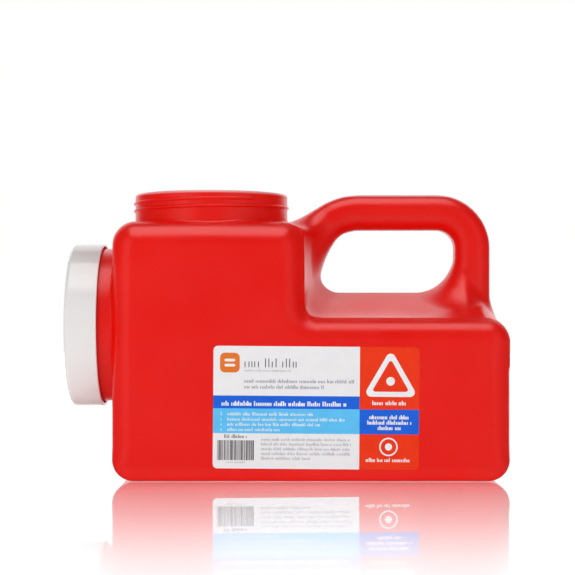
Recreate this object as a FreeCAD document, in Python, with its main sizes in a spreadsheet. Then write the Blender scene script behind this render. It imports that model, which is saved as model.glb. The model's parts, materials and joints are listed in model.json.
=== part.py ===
import FreeCAD, Part
import Sketcher
import math
import os

# Sharps container, millimetres. X runs from the cap side to the handle side,
# Y from the front label to the back, Z up from the floor.

DIMENSIONS = {
    # shell
    "body_left": -118.5,
    "body_right": 151.0,
    "body_width": 130.0,
    "tower_right": 11.0,
    "tower_top": 176.5,
    "base_top": 109.5,
    "wall_thickness": 1.8,
    "side_corner_radius": 15.5,
    "step_radius": 10.0,
    "overlap": 6.0,
    "room_overlap": 8.0,
    "bottom_edge_radius": 9.0,
    "upright_edge_radius": 15.0,
    "base_top_edge_radius": 13.0,
    "tower_top_edge_radius": 15.0,
    # recess under the base
    "recess_depth": 2.5,
    "recess_margin": 21.0,
    "recess_corner_radius": 12.0,
    "cut_beyond": 1.0,
    # top neck and side boss
    "neck_axis": -53.5,
    "neck_top": 197.0,
    "neck_radius": 53.9,
    "neck_wall": 2.0,
    "lip_radius": 0.9,
    "boss_height": 105.2,
    "boss_end": -147.6,
    "boss_end_radius": 2.4,
    # thread
    "thread_pitch": 5.08,
    "thread_turns": 1.5,
    "thread_depth": 1.1,
    "thread_root_width": 2.2,
    "thread_crest_width": 1.2,
    "thread_below_rim": 12.6,
    "thread_start_angle": 125.5,
    "thread_sunk": 0.35,
    # handle
    "grip_top": 197.0,
    "grip_right": 143.5,
    "grip_depth": 25.0,
    "grip_width": 30.0,
    "grip_edge_radius": 10.5,
    "grip_left_radius": 40.5,
    "grip_left_centre": 51.6,
    "grip_right_radius": 25.2,
    "grip_root_angle": 42.0,
    "grip_root_length": 52.0,
    "grip_foot": 100.0,
    # finger hole and the slopes round it
    "hole_left": 23.0,
    "hole_right": 118.0,
    "hole_bottom": 128.0,
    "hole_top": 172.0,
    "hole_lower_left_radius": 13.7,
    "hole_lower_right_radius": 27.7,
    "slope_half_width": 18.5,
    "slope_angle": 45.0,
    "slope_wall": 2.6,
    "slope_top": 166.0,
    "slope_right": 131.2,
    "slope_overlap": 12.0,
    "hole_cut_above": 30.0,
    "hole_cut_beyond": 10.0,
    # sloping top of the lower part, and the tall part's right wall leaning out to the hole
    "roof_half_width": 50.0,
    "roof_right": 137.5,
    "roof_wall": 1.95,
    "hip_left": 125.0,
    "hip_top": 132.0,
    "hip_angle": 45.0,
    "hip_wall": 2.6,
    "prow_top": 168.0,
    "prow_wall": 1.9,
    # flare at the foot of the handle
    "flare_top": 119.5,
    "flare_middle": 109.0,
    "flare_bottom": 92.0,
    "flare_right": 150.0,
    "flare_left": 115.0,
    "flare_half_width": 19.0,
    "flare_corner_radius": 8.0,
    # cap
    "cap_face": -151.0,
    "cap_height": 22.2,
    "cap_radius": 57.6,
    "cap_bore_radius": 55.5,
    "cap_top_thickness": 1.8,
    "cap_edge_radius": 3.1,
    "cap_rim_radius": 0.7,
    "cap_thread_depth": 1.2,
    "cap_thread_above_rim": 3.2,
    "liner_radius": 54.9,
    "liner_thickness": 1.0,
    "liner_gap": 0.3,
    # labels
    "label_thickness": 0.25,
    "label_left": -49.0,
    "label_right": 88.9,
    "label_bottom": 9.8,
    "label_top": 91.8,
    "label_corner_radius": 3.0,
    "label_tilt": 0.45,
    "fill_label_left": -30.0,
    "fill_label_right": 70.0,
    "fill_label_bottom": 62.0,
    "fill_label_top": 92.0,
}

SHEET = "Dimensions"
UP = FreeCAD.Vector(0, 0, 1)
BACKWARD = FreeCAD.Vector(0, 1, 0)
OUTWARD = FreeCAD.Rotation(BACKWARD, -90)
CLOSE = 0.01


def make_sheet(doc):
    sheet = doc.addObject("Spreadsheet::Sheet", SHEET)
    for row, (name, value) in enumerate(DIMENSIONS.items(), start=1):
        sheet.set(f"A{row}", name)
        sheet.set(f"B{row}", str(value))
        sheet.setAlias(f"B{row}", name)
    doc.recompute()
    return sheet


def bound(text):
    """Put the sheet's name before each dimension in an expression."""
    words = []
    for word in text.split():
        bare = word.strip("()")
        words.append(word.replace(bare, f"{SHEET}.{bare}") if bare in DIMENSIONS else word)
    return " ".join(words)


def value(sheet, text):
    """The number that an expression such as 'cap_face + cap_height' comes to."""
    return float(sheet.evalExpression(text))


def bind(obj, **sizes):
    for name, text in sizes.items():
        obj.setExpression(name.replace("__", "."), bound(text))
    return obj


def plane(body, role):
    for feature in body.Origin.OriginFeatures:
        if feature.Role == role:
            return feature
    raise RuntimeError(f"no {role} in {body.Label}")


def add_body(doc, name):
    return doc.addObject("PartDesign::Body", name)


def add_sketch(body, name, role):
    sketch = body.newObject("Sketcher::SketchObject", name)
    sketch.AttachmentSupport = (plane(body, role), [""])
    sketch.MapMode = "FlatFace"
    return sketch


def meeting(first, second):
    """Where two lines meet; each is a point and a direction."""
    point, along = first
    other, across = second
    turn = along.x * across.y - along.y * across.x
    step = ((other.x - point.x) * across.y - (other.y - point.y) * across.x) / turn
    return point + along * step


def rounded_outline(sheet, sketch, sides, radii):
    """A closed outline of upright and level sides with a rounded corner after each side.

    Each side is ('x', expression) or ('y', expression). Each radius belongs to the corner
    between that side and the next one.
    """
    count = len(sides)
    lines = []
    for kind, text in sides:
        if kind == "x":
            lines.append((FreeCAD.Vector(value(sheet, text), 0, 0), FreeCAD.Vector(0, 1, 0)))
        else:
            lines.append((FreeCAD.Vector(0, value(sheet, text), 0), FreeCAD.Vector(1, 0, 0)))
    corners = [meeting(lines[i], lines[(i + 1) % count]) for i in range(count)]
    starts = []
    ends = []
    arcs = []
    for i in range(count):
        corner = corners[i]
        back = (corners[i - 1] - corner).normalize()
        ahead = (corners[(i + 1) % count] - corner).normalize()
        radius = value(sheet, radii[i])
        arcs.append((corner + (back + ahead) * radius, radius))
        ends.append(corner + back * radius)
        starts.append(corner + ahead * radius)
    for i in range(count):
        sketch.addGeometry(Part.LineSegment(starts[i - 1], ends[i]), False)
    arc_ids = []
    for i in range(count):
        arc_ids.append(add_corner_arc(sketch, arcs[i], ends[i], starts[i]))
    for i in range(count):
        arc, first_end, last_end = arc_ids[i]
        sketch.addConstraint(Sketcher.Constraint("Tangent", i, 2, arc, first_end))
        sketch.addConstraint(Sketcher.Constraint("Tangent", arc, last_end, (i + 1) % count, 1))
        hold(sketch, Sketcher.Constraint("Radius", arc, arcs[i][1]), radii[i])
    for i, (kind, text) in enumerate(sides):
        size = value(sheet, text)
        if kind == "x":
            sketch.addConstraint(Sketcher.Constraint("Vertical", i))
            hold(sketch, Sketcher.Constraint("DistanceX", -1, 1, i, 1, size), text)
        else:
            sketch.addConstraint(Sketcher.Constraint("Horizontal", i))
            hold(sketch, Sketcher.Constraint("DistanceY", -1, 1, i, 1, size), text)


def add_corner_arc(sketch, arc, begin, end):
    """Add the short arc from begin to end; return its number and which end is which."""
    centre, radius = arc
    start_angle = math.atan2(begin.y - centre.y, begin.x - centre.x)
    end_angle = math.atan2(end.y - centre.y, end.x - centre.x)
    circle = Part.Circle(centre, UP, radius)
    sweep = (end_angle - start_angle) % (2 * math.pi)
    if sweep < math.pi:
        number = sketch.addGeometry(Part.ArcOfCircle(circle, start_angle, start_angle + sweep), False)
        return number, 1, 2
    back = 2 * math.pi - sweep
    number = sketch.addGeometry(Part.ArcOfCircle(circle, end_angle, end_angle + back), False)
    return number, 2, 1


def hold(sketch, constraint, text):
    """Add a constraint whose size comes from the sheet."""
    number = sketch.addConstraint(constraint)
    sketch.setExpression(f"Constraints[{number}]", bound(text))


def fillet(doc, name, base, edges):
    """Edges is a list of (edge number, radius at its start, radius at its end)."""
    rounded = doc.addObject("Part::Fillet", name)
    rounded.Base = base
    rounded.Edges = edges
    doc.recompute()
    return rounded


def fuse(doc, name, shapes):
    joined = doc.addObject("Part::MultiFuse", name)
    joined.Shapes = shapes
    joined.Refine = False
    doc.recompute()
    return joined


def cut(doc, name, base, tool):
    result = doc.addObject("Part::Cut", name)
    result.Base = base
    result.Tool = tool
    result.Refine = False
    doc.recompute()
    return result


# container body ------------------------------------------------------------


def stepped_block(doc, sheet, name, inset):
    """The tall part and the lower part as one padded outline, set in by 'inset' all round."""
    body = add_body(doc, name)
    sketch = add_sketch(body, name + "_outline", "XZ_Plane")
    sides = [
        ("y", f"0 + {inset}"),
        ("x", f"body_right - {inset}"),
        ("y", f"base_top - {inset}"),
        ("x", f"tower_right - {inset}"),
        ("y", f"tower_top - {inset}"),
        ("x", f"body_left + {inset}"),
    ]
    outer = f"side_corner_radius - {inset}"
    radii = [outer, outer, f"step_radius + {inset}", outer, outer, outer]
    rounded_outline(sheet, sketch, sides, radii)
    pad = body.newObject("PartDesign::Pad", name + "_pad")
    pad.Profile = sketch
    pad.Midplane = True
    bind(pad, Length=f"body_width - 2 * {inset}")
    doc.recompute()
    return fillet(doc, name + "_rounded", body, outline_edges(sheet, body.Shape, inset))


def outline_edges(sheet, shape, inset):
    """The front and back outline, with a radius that changes from the base to the top."""
    face = value(sheet, f"body_width / 2 - {inset}")
    less = value(sheet, f"0 + {inset}")
    radii = {
        "bottom": value(sheet, "bottom_edge_radius") - less,
        "upright": value(sheet, "upright_edge_radius") - less,
        "base_top": value(sheet, "base_top_edge_radius") - less,
        "tower_top": value(sheet, "tower_top_edge_radius") - less,
    }
    floor = value(sheet, f"0 + {inset}")
    top = value(sheet, f"tower_top - {inset}")
    step = value(sheet, f"base_top - {inset}")

    def radius_at(point):
        if abs(point.z - floor) < CLOSE:
            return radii["bottom"]
        if abs(point.z - top) < CLOSE:
            return radii["tower_top"]
        if abs(point.z - step) < CLOSE:
            return radii["base_top"]
        return radii["upright"]

    edges = []
    for number, edge in enumerate(shape.Edges, start=1):
        ends = [edge.valueAt(edge.FirstParameter), edge.valueAt(edge.LastParameter)]
        on_face = all(abs(abs(end.y) - face) < CLOSE for end in ends)
        if on_face and abs(ends[0].y - ends[1].y) < CLOSE:
            edges.append((number, radius_at(ends[0]), radius_at(ends[1])))
    return edges


def grip_path(doc, sheet, name):
    """The middle line of the handle's bar, from the foot of its outer leg to its left root."""
    top = value(sheet, "grip_top - grip_depth / 2")
    right = value(sheet, "grip_right - grip_depth / 2")
    bend = value(sheet, "grip_right_radius")
    left_bend = value(sheet, "grip_left_radius")
    angle = math.radians(value(sheet, "grip_root_angle"))
    foot = FreeCAD.Vector(right, 0, value(sheet, "grip_foot"))
    corner = FreeCAD.Vector(right - bend, 0, top - bend)
    corner_low = corner + FreeCAD.Vector(bend, 0, 0)
    corner_mid = corner + FreeCAD.Vector(1, 0, 1).normalize() * bend
    corner_high = corner + FreeCAD.Vector(0, 0, bend)
    centre = FreeCAD.Vector(value(sheet, "grip_left_centre"), 0, top - left_bend)
    bend_start = centre + FreeCAD.Vector(0, 0, left_bend)
    bend_mid = centre + FreeCAD.Vector(-math.sin(angle / 2), 0, math.cos(angle / 2)) * left_bend
    bend_end = centre + FreeCAD.Vector(-math.sin(angle), 0, math.cos(angle)) * left_bend
    inwards = FreeCAD.Vector(-math.cos(angle), 0, -math.sin(angle))
    root = bend_end + inwards * value(sheet, "grip_root_length")
    path = doc.addObject("Part::Feature", name)
    path.Shape = Part.Wire(
        [
            Part.makeLine(foot, corner_low),
            Part.Arc(corner_low, corner_mid, corner_high).toShape(),
            Part.makeLine(corner_high, bend_start),
            Part.Arc(bend_start, bend_mid, bend_end).toShape(),
            Part.makeLine(bend_end, root),
        ]
    )
    return path


def grip_bar(doc, sheet, name, inset):
    """The bar of the handle: a rounded section swept up its outer leg, over and down."""
    path = grip_path(doc, sheet, name + "_path")
    body = add_body(doc, name + "_section")
    section = add_sketch(body, name + "_section_outline", "XY_Plane")
    sides = [
        ("x", f"grip_right - grip_depth + {inset}"),
        ("y", f"0 - grip_width / 2 + {inset}"),
        ("x", f"grip_right - {inset}"),
        ("y", f"grip_width / 2 - {inset}"),
    ]
    rounded_outline(sheet, section, sides, [f"grip_edge_radius - {inset}"] * 4)
    bind(section, AttachmentOffset__Base__z="grip_foot")
    doc.recompute()
    bar = doc.addObject("Part::Sweep", name)
    bar.Sections = [section]
    bar.Spine = (path, [f"Edge{i}" for i in range(1, len(path.Shape.Edges) + 1)])
    bar.Solid = True
    bar.Frenet = False
    doc.recompute()
    return bar


def hole_cutter(doc, sheet, name, grow):
    """The finger hole widening at the slope angle towards the front and back."""
    body = add_body(doc, name + "_half")
    sketch = add_sketch(body, name + "_outline", "XZ_Plane")
    sides = [
        ("y", f"hole_bottom - {grow}"),
        ("x", f"hole_right + {grow}"),
        ("y", f"hole_top + {grow} + hole_cut_above"),
        ("x", f"hole_left - {grow}"),
    ]
    radii = [
        f"hole_lower_right_radius + {grow}",
        "hole_lower_left_radius",
        "hole_lower_left_radius",
        f"hole_lower_left_radius + {grow}",
    ]
    rounded_outline(sheet, sketch, sides, radii)
    pad = body.newObject("PartDesign::Pad", name + "_pad")
    pad.Profile = sketch
    bind(pad, Length="slope_half_width + hole_cut_beyond", TaperAngle="slope_angle")
    doc.recompute()
    other = doc.addObject("Part::Mirroring", name + "_mirror")
    other.Source = body
    other.Normal = FreeCAD.Vector(0, 1, 0)
    doc.recompute()
    return fuse(doc, name, [body, other])


def slope_block(doc, sheet, name, inset, grow):
    """The solid round the hole, with its left and lower slopes cut."""
    block = doc.addObject("Part::Box", name + "_block")
    bind(
        block,
        Length=f"slope_right - tower_right + slope_overlap - {inset}",
        Width=f"2 * slope_half_width - 2 * {inset}",
        Height=f"slope_top - base_top + slope_overlap - {inset}",
        Placement__Base__x="tower_right - slope_overlap",
        Placement__Base__y=f"0 - slope_half_width + {inset}",
        Placement__Base__z="base_top - slope_overlap",
    )
    doc.recompute()
    cutter = hole_cutter(doc, sheet, name + "_hole", grow)
    return cut(doc, name, block, cutter)


def corner_outline(sheet, sketch, corners):
    """A closed outline through sharp corners; each corner is a pair of expressions."""
    points = [FreeCAD.Vector(value(sheet, across), value(sheet, up), 0) for across, up in corners]
    count = len(points)
    for i in range(count):
        sketch.addGeometry(Part.LineSegment(points[i], points[(i + 1) % count]), False)
    for i in range(count):
        sketch.addConstraint(Sketcher.Constraint("Coincident", i, 2, (i + 1) % count, 1))
    for i, (across, up) in enumerate(corners):
        hold(sketch, Sketcher.Constraint("DistanceX", -1, 1, i, 1, points[i].x), across)
        hold(sketch, Sketcher.Constraint("DistanceY", -1, 1, i, 1, points[i].y), up)


def corner_pad(doc, sheet, name, role, corners, start, length):
    body = add_body(doc, name)
    sketch = add_sketch(body, name + "_outline", role)
    corner_outline(sheet, sketch, corners)
    bind(sketch, AttachmentOffset__Base__z=start)
    pad = body.newObject("PartDesign::Pad", name + "_pad")
    pad.Profile = sketch
    bind(pad, Length=length)
    doc.recompute()
    return body


def roof(doc, sheet, name, inset, lower, hip):
    """Sloping top of the lower part, from the shoulders up to the parting plane."""
    foot = "base_top - slope_overlap"
    corners = [
        ("0 - roof_half_width", foot),
        ("roof_half_width", foot),
        ("roof_half_width", f"base_top - {lower}"),
        ("0", f"hole_bottom - {lower}"),
        ("0 - roof_half_width", f"base_top - {lower}"),
    ]
    start = "tower_right - slope_overlap"
    length = f"roof_right - tower_right + slope_overlap - {inset}"
    block = corner_pad(doc, sheet, name + "_block", "YZ_Plane", corners, start, length)
    cutter = doc.addObject("Part::Box", name + "_hip")
    cutter.Placement = FreeCAD.Placement(
        FreeCAD.Vector(), FreeCAD.Rotation(BACKWARD, value(sheet, "hip_angle"))
    )
    bind(
        cutter,
        Length="body_width",
        Width="body_width",
        Height="body_width",
        Placement__Base__x="hip_left",
        Placement__Base__y="0 - body_width / 2",
        Placement__Base__z=f"hip_top - {hip}",
    )
    doc.recompute()
    return cut(doc, name, block, cutter)


def prow(doc, sheet, name, inset, less):
    """The tall part's right wall, leaning out from its corners to the hole's left edge."""
    back = "tower_right - slope_overlap"
    corners = [
        (back, "0 - roof_half_width"),
        (f"tower_right - {less}", "0 - roof_half_width"),
        (f"hole_left - {less}", "0"),
        (f"tower_right - {less}", "roof_half_width"),
        (back, "roof_half_width"),
    ]
    start = "base_top - slope_overlap"
    length = f"prow_top - base_top + slope_overlap - {inset}"
    return corner_pad(doc, sheet, name, "XY_Plane", corners, start, length)


def flare(doc, sheet, name, inset):
    """The foot of the handle's outer leg, sloping out to the side wall."""
    less = value(sheet, f"0 + {inset}")
    foot = ("flare_left", "flare_right", "flare_half_width", "flare_corner_radius")
    leg = ("hole_right", "grip_right", "grip_width / 2", "grip_edge_radius")
    stations = [
        (value(sheet, "flare_bottom"), foot),
        (value(sheet, f"flare_middle - {inset}"), foot),
        (value(sheet, f"flare_top - {inset}"), leg),
    ]
    wires = []
    for height, (left, right, half, radius) in stations:
        near = value(sheet, left) + less
        far = value(sheet, right) - less
        side = value(sheet, half) - less
        wires.append(rounded_rectangle(near, far, side, height, value(sheet, radius) - less))
    piece = doc.addObject("Part::Feature", name)
    piece.Shape = Part.makeLoft(wires, True, True)
    return piece


def rounded_rectangle(left, right, half, height, radius):
    corners = [
        FreeCAD.Vector(left, -half, height),
        FreeCAD.Vector(right, -half, height),
        FreeCAD.Vector(right, half, height),
        FreeCAD.Vector(left, half, height),
    ]
    edges = []
    for i in range(4):
        corner = corners[i]
        ahead = (corners[(i + 1) % 4] - corner).normalize()
        back = (corners[i - 1] - corner).normalize()
        before = corner + back * radius
        after = corner + ahead * radius
        centre = corner + (back + ahead) * radius
        middle = centre + (corner - centre).normalize() * radius
        edges.append(Part.Arc(before, middle, after).toShape())
        following = corners[(i + 1) % 4] - ahead * radius
        edges.append(Part.makeLine(after, following))
    return Part.Wire(edges)


def neck_cylinder(doc, name, radius, base, height):
    """An upright cylinder on the neck's axis."""
    piece = doc.addObject("Part::Cylinder", name)
    bind(piece, Radius=radius, Height=height, Placement__Base__x="neck_axis", Placement__Base__z=base)
    doc.recompute()
    return piece


def side_cylinder(doc, name, radius, base, height):
    """A cylinder on the side boss's axis, from X = base out to the left."""
    piece = doc.addObject("Part::Cylinder", name)
    piece.Placement = FreeCAD.Placement(FreeCAD.Vector(), OUTWARD)
    bind(piece, Radius=radius, Height=height, Placement__Base__x=base, Placement__Base__z="boss_height")
    doc.recompute()
    return piece


def round_circles(doc, name, base, wanted):
    """Fillet circular edges; each wanted entry is (radius of circle, its centre, fillet radius)."""
    edges = []
    for number, edge in enumerate(base.Shape.Edges, start=1):
        if edge.Curve.TypeId != "Part::GeomCircle":
            continue
        for radius, centre, size in wanted:
            near = (edge.Curve.Center - centre).Length < CLOSE
            if near and abs(edge.Curve.Radius - radius) < CLOSE:
                edges.append((number, size, size))
    return fillet(doc, name, base, edges)


def ridge_shape(sheet, radius, rise):
    """A single-start right-hand ridge that climbs the Z axis; a negative rise points inwards."""
    pitch = value(sheet, "thread_pitch")
    turns = value(sheet, "thread_turns")
    root = value(sheet, "thread_root_width") / 2
    crest = value(sheet, "thread_crest_width") / 2
    sunk = -math.copysign(value(sheet, "thread_sunk"), rise)
    points = [
        FreeCAD.Vector(radius + sunk, 0, -root),
        FreeCAD.Vector(radius, 0, -root),
        FreeCAD.Vector(radius + rise, 0, -crest),
        FreeCAD.Vector(radius + rise, 0, crest),
        FreeCAD.Vector(radius, 0, root),
        FreeCAD.Vector(radius + sunk, 0, root),
    ]
    profile = Part.makePolygon(points + [points[0]])
    helix = Part.makeHelix(pitch, pitch * turns, radius)
    return Part.Wire(helix.Edges).makePipeShell([profile], True, True)


def neck_thread(doc, sheet):
    piece = doc.addObject("Part::Feature", "neck_thread")
    piece.Shape = ridge_shape(sheet, value(sheet, "neck_radius"), value(sheet, "thread_depth"))
    foot = FreeCAD.Vector(value(sheet, "neck_axis"), 0, value(sheet, "neck_top - thread_below_rim"))
    piece.Placement = FreeCAD.Placement(foot, FreeCAD.Rotation(UP, value(sheet, "thread_start_angle")))
    return piece


def side_thread(doc, sheet, name, radius, rise, start, turn):
    """A ridge on the side boss's axis that starts at X = start."""
    piece = doc.addObject("Part::Feature", name)
    piece.Shape = ridge_shape(sheet, radius, rise)
    foot = FreeCAD.Vector(start, 0, value(sheet, "boss_height"))
    piece.Placement = FreeCAD.Placement(foot, OUTWARD.multiply(FreeCAD.Rotation(UP, turn)))
    return piece


def neck_outside(doc, sheet):
    neck = neck_cylinder(
        doc, "neck", "neck_radius", "tower_top - overlap", "neck_top - tower_top + overlap"
    )
    top = FreeCAD.Vector(value(sheet, "neck_axis"), 0, value(sheet, "neck_top"))
    lip = (value(sheet, "neck_radius"), top, value(sheet, "lip_radius"))
    return round_circles(doc, "neck_rounded", neck, [lip])


def boss_outside(doc, sheet):
    boss = side_cylinder(
        doc, "boss", "neck_radius", "body_left + overlap", "body_left + overlap - boss_end"
    )
    end = FreeCAD.Vector(value(sheet, "boss_end"), 0, value(sheet, "boss_height"))
    edge = (value(sheet, "neck_radius"), end, value(sheet, "boss_end_radius"))
    return round_circles(doc, "boss_rounded", boss, [edge])


def base_recess(doc, sheet, name, grow):
    """The block that hollows the underside; grown by the wall it is the raised floor inside."""
    block = doc.addObject("Part::Box", name + "_block")
    bind(
        block,
        Length=f"body_right - body_left - 2 * recess_margin + 2 * {grow}",
        Width=f"body_width - 2 * recess_margin + 2 * {grow}",
        Height=f"recess_depth + cut_beyond + {grow}",
        Placement__Base__x=f"body_left + recess_margin - {grow}",
        Placement__Base__y=f"recess_margin - body_width / 2 - {grow}",
        Placement__Base__z="0 - cut_beyond",
    )
    doc.recompute()
    size = value(sheet, f"recess_corner_radius + {grow}")
    edges = []
    for number, edge in enumerate(block.Shape.Edges, start=1):
        if abs(edge.Vertexes[0].Point.z - edge.Vertexes[-1].Point.z) > 0.5:
            edges.append((number, size, size))
    return fillet(doc, name, block, edges)


def outside_solids(doc, sheet):
    boss_thread = side_thread(
        doc,
        sheet,
        "boss_thread",
        value(sheet, "neck_radius"),
        value(sheet, "thread_depth"),
        value(sheet, "boss_end + thread_below_rim"),
        value(sheet, "thread_start_angle"),
    )
    return [
        stepped_block(doc, sheet, "shell_block", "0"),
        grip_bar(doc, sheet, "grip", "0"),
        slope_block(doc, sheet, "slopes", "0", "0"),
        roof(doc, sheet, "roof", "0", "0", "0"),
        prow(doc, sheet, "prow", "0", "0"),
        flare(doc, sheet, "grip_flare", "0"),
        neck_outside(doc, sheet),
        boss_outside(doc, sheet),
        neck_thread(doc, sheet),
        boss_thread,
    ]


def room_solids(doc, sheet, wall):
    """The same shapes set in by the wall, and the bores of the neck and boss."""
    bore = "neck_radius - neck_wall"
    neck_bore = neck_cylinder(
        doc,
        "neck_bore",
        bore,
        "tower_top - room_overlap",
        "neck_top - tower_top + room_overlap + cut_beyond",
    )
    boss_bore = side_cylinder(
        doc,
        "boss_bore",
        bore,
        "body_left + room_overlap",
        f"body_left + room_overlap - boss_end - {wall}",
    )
    return [
        stepped_block(doc, sheet, "room_block", wall),
        grip_bar(doc, sheet, "grip_room", wall),
        slope_block(doc, sheet, "slopes_room", wall, "slope_wall"),
        roof(doc, sheet, "roof_room", wall, "roof_wall", "hip_wall"),
        prow(doc, sheet, "prow_room", wall, "prow_wall"),
        flare(doc, sheet, "flare_room", wall),
        neck_bore,
        boss_bore,
    ]


def make_container(doc, sheet):
    wall = "wall_thickness"
    outside = fuse(doc, "outside", outside_solids(doc, sheet))
    room = fuse(doc, "room", room_solids(doc, sheet, wall))
    hollow = cut(doc, "hollow", room, base_recess(doc, sheet, "raised_floor", wall))
    shell = cut(doc, "shell", outside, hollow)
    container = cut(doc, "container", shell, base_recess(doc, sheet, "recess", "0"))
    container.Label = "container_body"
    return container


# cap ------------------------------------------------------------------------


def cap_shell(doc, sheet):
    blank = side_cylinder(doc, "cap_blank", "cap_radius", "cap_face + cap_height", "cap_height")
    bore = side_cylinder(
        doc,
        "cap_bore",
        "cap_bore_radius",
        "cap_face + cap_height + cut_beyond",
        "cap_height + cut_beyond - cap_top_thickness",
    )
    hollow = cut(doc, "cap_hollow", blank, bore)
    axis_height = value(sheet, "boss_height")
    face = FreeCAD.Vector(value(sheet, "cap_face"), 0, axis_height)
    rim = FreeCAD.Vector(value(sheet, "cap_face + cap_height"), 0, axis_height)
    circles = [
        (value(sheet, "cap_radius"), face, value(sheet, "cap_edge_radius")),
        (value(sheet, "cap_radius"), rim, value(sheet, "cap_rim_radius")),
        (value(sheet, "cap_bore_radius"), rim, value(sheet, "cap_rim_radius")),
    ]
    return round_circles(doc, "cap_rounded", hollow, circles)


def cap_thread(doc, sheet):
    """The cap's inner ridge, turned so that it runs midway between the boss's."""
    start = value(sheet, "cap_face + cap_height - cap_thread_above_rim")
    ahead = value(sheet, "boss_end + thread_below_rim") - start
    turn = value(sheet, "thread_start_angle") + 360 * ahead / value(sheet, "thread_pitch") - 180
    radius = value(sheet, "cap_bore_radius")
    return side_thread(doc, sheet, "cap_thread", radius, -value(sheet, "cap_thread_depth"), start, turn)


def make_cap(doc, sheet):
    cap = fuse(doc, "cap", [cap_shell(doc, sheet), cap_thread(doc, sheet)])
    cap.Label = "screw_cap"
    return cap


def make_liner(doc):
    liner = side_cylinder(
        doc,
        "liner",
        "liner_radius",
        "cap_face + cap_top_thickness + liner_gap + liner_thickness",
        "liner_thickness",
    )
    liner.Label = "cap_liner"
    return liner


# labels ---------------------------------------------------------------------


def make_label(doc, sheet, label, sides, face, tilt):
    """A thin rounded sheet on the front or back wall; sides are left, right, bottom and top."""
    left, right, bottom, top = sides
    block = doc.addObject("Part::Box", label + "_sheet")
    bind(block, Length=f"{right} - {left}", Width="label_thickness", Height=f"{top} - {bottom}")
    block.Placement = FreeCAD.Placement(FreeCAD.Vector(), FreeCAD.Rotation(BACKWARD, tilt))
    bind(block, Placement__Base__x=left, Placement__Base__y=face, Placement__Base__z=bottom)
    doc.recompute()
    size = value(sheet, "label_corner_radius")
    edges = []
    for number, edge in enumerate(block.Shape.Edges, start=1):
        if abs(edge.Vertexes[0].Point.y - edge.Vertexes[-1].Point.y) > 0.1:
            edges.append((number, size, size))
    piece = fillet(doc, label + "_rounded", block, edges)
    piece.Label = label
    return piece


def make_labels(doc, sheet):
    front_sides = ("label_left", "label_right", "label_bottom", "label_top")
    back_sides = ("fill_label_left", "fill_label_right", "fill_label_bottom", "fill_label_top")
    tilt = value(sheet, "label_tilt")
    front = make_label(
        doc, sheet, "front_label", front_sides, "0 - body_width / 2 - label_thickness", tilt
    )
    back = make_label(doc, sheet, "fill_line_label", back_sides, "body_width / 2", 0.0)
    return [front, back]


def check(doc):
    for obj in doc.Objects:
        state = [word for word in obj.State if word in ("Invalid", "Error")]
        if state:
            raise RuntimeError(f"{obj.Label} failed: {obj.State}")
        if obj.TypeId == "PartDesign::Body" and obj.Tip is None:
            continue
        if hasattr(obj, "Shape") and (obj.Shape.isNull() or not obj.Shape.isValid()):
            raise RuntimeError(f"{obj.Label} has no valid shape")


def main():
    doc = FreeCAD.newDocument("sharps_container")
    sheet = make_sheet(doc)
    parts = [make_container(doc, sheet), make_cap(doc, sheet), make_liner(doc)]
    parts += make_labels(doc, sheet)
    doc.recompute()
    check(doc)
    os.makedirs("parts", exist_ok=True)
    for part in parts:
        part.Shape.exportStep(f"parts/{part.Label}.step")


main()
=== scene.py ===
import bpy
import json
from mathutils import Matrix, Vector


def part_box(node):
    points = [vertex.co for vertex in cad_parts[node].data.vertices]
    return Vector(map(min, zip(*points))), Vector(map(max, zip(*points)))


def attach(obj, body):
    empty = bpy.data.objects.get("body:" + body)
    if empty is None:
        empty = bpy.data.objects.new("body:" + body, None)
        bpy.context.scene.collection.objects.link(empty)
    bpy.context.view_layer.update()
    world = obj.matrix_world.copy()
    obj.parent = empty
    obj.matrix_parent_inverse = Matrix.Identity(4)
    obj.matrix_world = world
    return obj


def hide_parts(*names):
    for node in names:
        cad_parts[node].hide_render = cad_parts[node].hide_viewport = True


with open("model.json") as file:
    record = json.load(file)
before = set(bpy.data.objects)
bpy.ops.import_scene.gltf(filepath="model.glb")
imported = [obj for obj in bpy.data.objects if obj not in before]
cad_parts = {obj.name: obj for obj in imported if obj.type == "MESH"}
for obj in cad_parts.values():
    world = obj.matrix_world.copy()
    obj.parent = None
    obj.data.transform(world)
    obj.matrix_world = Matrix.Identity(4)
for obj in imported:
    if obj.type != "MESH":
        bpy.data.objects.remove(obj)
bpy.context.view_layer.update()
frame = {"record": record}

import json
import math
import random

import bpy
import numpy as np
from mathutils import Vector

MM = 0.001


def box_mm(node):
    """A CAD node's lowest and highest corners at rest, to a tenth of a millimetre."""
    return [[round(side / MM, 1) for side in corner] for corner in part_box(node)]


# ---------------------------------------------------------------- sizes, mm
SHELL_LOW, SHELL_HIGH = box_mm("container_body")
CAP_LOW, CAP_HIGH = box_mm("screw_cap")
LINER_LOW, LINER_HIGH = box_mm("cap_liner")
MOUTH = next(mount for mount in frame["record"]["mounts"] if mount["name"] == "mouth")

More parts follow.
